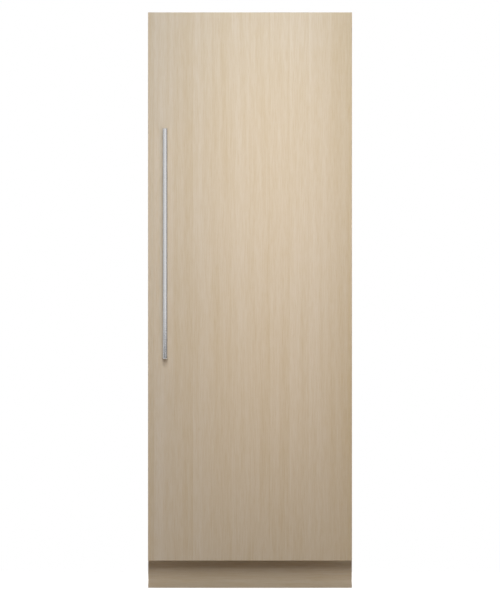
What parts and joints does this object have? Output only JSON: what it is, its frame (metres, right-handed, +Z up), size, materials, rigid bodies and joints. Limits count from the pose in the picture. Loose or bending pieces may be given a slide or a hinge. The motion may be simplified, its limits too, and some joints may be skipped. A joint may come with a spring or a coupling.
{
  "type": "column refrigerator",
  "caption": "Tall built-in column refrigerator with a full-height wood-faced door on articulated hinges, bar handle, toe kick, shelves, drawers, door bins and rear-foot cooling machinery.",
  "frame": {"origin": "on the floor, under the middle of the whole object's box", "axes": "+X to the right seen from the front (the hinge side), +Y to the back, +Z up; the door faces -Y"},
  "size_m": [0.756, 0.6794, 2.134],
  "materials": {
    "oak_veneer": "satin",
    "oak_veneer_kick": "satin",
    "handle_steel": "satin",
    "shelf_steel": "satin",
    "zinc_steel": "satin",
    "case_paint": "satin",
    "black_paint": "satin",
    "liner_plastic": "satin",
    "clear_plastic": "gloss",
    "light_lens": "satin",
    "dark_plastic": "matte",
    "grey_plastic": "matte",
    "shelf_glass": "polished",
    "fin_aluminium": "satin",
    "copper": "satin",
    "gasket": "matte",
    "tyre_rubber": "matte",
    "foam": "matte"
  },
  "bodies": {
    "cabinet": {"side_panel_left": "case_paint", "side_panel_right": "case_paint", "top_panel": "case_paint", "back_panel": "zinc_steel", "front_frame": "case_paint", "inner_liner": "liner_plastic", "foam_body": "foam", "base_deck": "zinc_steel", "base_frame": "zinc_steel", "toe_kick": "oak_veneer_kick", "compressor": "black_paint", "condenser_coil": "black_paint", "condenser_fan_frame": "dark_plastic", "drain_pan": "dark_plastic", "control_box": "grey_plastic", "hot_gas_pipe": "copper", "machine_cover": "zinc_steel", "power_inlet": "dark_plastic", "duct_cover": "liner_plastic", "evaporator_coil": "fin_aluminium", "control_panel": "liner_plastic", "ceiling_light": "light_lens", "shelf_track_left": "shelf_steel", "shelf_track_right": "shelf_steel", "shelf_frame_1": "shelf_steel", "shelf_frame_2": "shelf_steel", "shelf_frame_3": "shelf_steel", "shelf_glass_1": "shelf_glass", "shelf_glass_2": "shelf_glass", "shelf_glass_3": "shelf_glass", "drawer_frame": "liner_plastic", "drawer_cover_glass": "shelf_glass", "hinge_top_case_plate": "zinc_steel", "hinge_bottom_case_plate": "zinc_steel"},
    "hinge_main_links": {"hinge_top_main_link": "zinc_steel", "hinge_bottom_main_link": "zinc_steel"},
    "hinge_guide_links": {"hinge_top_guide_link": "zinc_steel", "hinge_bottom_guide_link": "zinc_steel"},
    "door": {"wood_panel": "oak_veneer", "door_pan": "case_paint", "door_foam": "foam", "door_foam_ridge": "foam", "door_liner": "liner_plastic", "door_gasket": "gasket", "hinge_top_door_plate": "zinc_steel", "hinge_bottom_door_plate": "zinc_steel", "handle_bar": "handle_steel", "handle_post_top": "handle_steel", "handle_post_bottom": "handle_steel"},
    "door_bin_1": {"door_bin_1": "clear_plastic"},
    "door_bin_2": {"door_bin_2": "clear_plastic"},
    "door_bin_3": {"door_bin_3": "clear_plastic"},
    "drawer_upper": {"drawer_upper": "clear_plastic"},
    "drawer_lower": {"drawer_lower": "clear_plastic"},
    "condenser_fan_rotor": {"condenser_fan_rotor": "grey_plastic"},
    "evaporator_fan_rotor": {"evaporator_fan_rotor": "grey_plastic"},
    "foot_left": {"foot_left": "zinc_steel"},
    "foot_right": {"foot_right": "zinc_steel"},
    "roller_left": {"roller_left": "tyre_rubber"},
    "roller_right": {"roller_right": "tyre_rubber"}
  },
  "joints": [
    {"name": "main_link_turn", "type": "hinge", "parent": "cabinet", "child": "hinge_main_links", "pos_m": [0.361, -0.21175, 2.1], "axis": [0, 0, -1], "range_deg": [0, 45.43]},
    {"name": "door_turn", "type": "hinge", "parent": "hinge_main_links", "child": "door", "pos_m": [0.361, -0.26175, 2.1], "axis": [0, 0, 1], "range_deg": [0, 160.42]},
    {"name": "guide_link_turn", "type": "hinge", "parent": "cabinet", "child": "hinge_guide_links", "pos_m": [0.29, -0.18475, 2.1], "axis": [0, 0, -1], "range_deg": [0, 34.51]},
    {"name": "drawer_upper_slide", "type": "slide", "parent": "cabinet", "child": "drawer_upper", "axis": [0, -1, 0], "range_m": [0, 0.24]},
    {"name": "drawer_lower_slide", "type": "slide", "parent": "cabinet", "child": "drawer_lower", "axis": [0, -1, 0], "range_m": [0, 0.12]},
    {"name": "door_bin_1_lift", "type": "slide", "parent": "door", "child": "door_bin_1", "axis": [0, 0, 1], "range_m": [0, 0.03]},
    {"name": "door_bin_2_lift", "type": "slide", "parent": "door", "child": "door_bin_2", "axis": [0, 0, 1], "range_m": [0, 0.03]},
    {"name": "door_bin_3_lift", "type": "slide", "parent": "door", "child": "door_bin_3", "axis": [0, 0, 1], "range_m": [0, 0.03]},
    {"name": "condenser_fan_spin", "type": "hinge", "parent": "cabinet", "child": "condenser_fan_rotor", "pos_m": [0.015, 0.19775, 0.166], "axis": [0, 1, 0], "continuous": true},
    {"name": "evaporator_fan_spin", "type": "hinge", "parent": "cabinet", "child": "evaporator_fan_rotor", "pos_m": [0, 0.22025, 1.79], "axis": [0, 1, 0], "continuous": true},
    {"name": "foot_left_extend", "type": "slide", "parent": "cabinet", "child": "foot_left", "axis": [0, 0, -1], "range_m": [0, 0.025]},
    {"name": "foot_right_extend", "type": "slide", "parent": "cabinet", "child": "foot_right", "axis": [0, 0, -1], "range_m": [0, 0.025]},
    {"name": "roller_left_spin", "type": "hinge", "parent": "cabinet", "child": "roller_left", "pos_m": [-0.329, 0.28825, 0.025], "axis": [1, 0, 0], "continuous": true},
    {"name": "roller_right_spin", "type": "hinge", "parent": "cabinet", "child": "roller_right", "pos_m": [0.329, 0.28825, 0.025], "axis": [1, 0, 0], "continuous": true}
  ],
  "couplings": [
    {"joint": "main_link_turn", "follows": "door_turn", "ratio": 0.28315},
    {"joint": "guide_link_turn", "follows": "door_turn", "ratio": 0.21505},
    {"joint": "drawer_upper_slide", "follows": "door_turn", "m_per_rad": 0.0857},
    {"joint": "drawer_lower_slide", "follows": "door_turn", "m_per_rad": 0.0428}
  ]
}
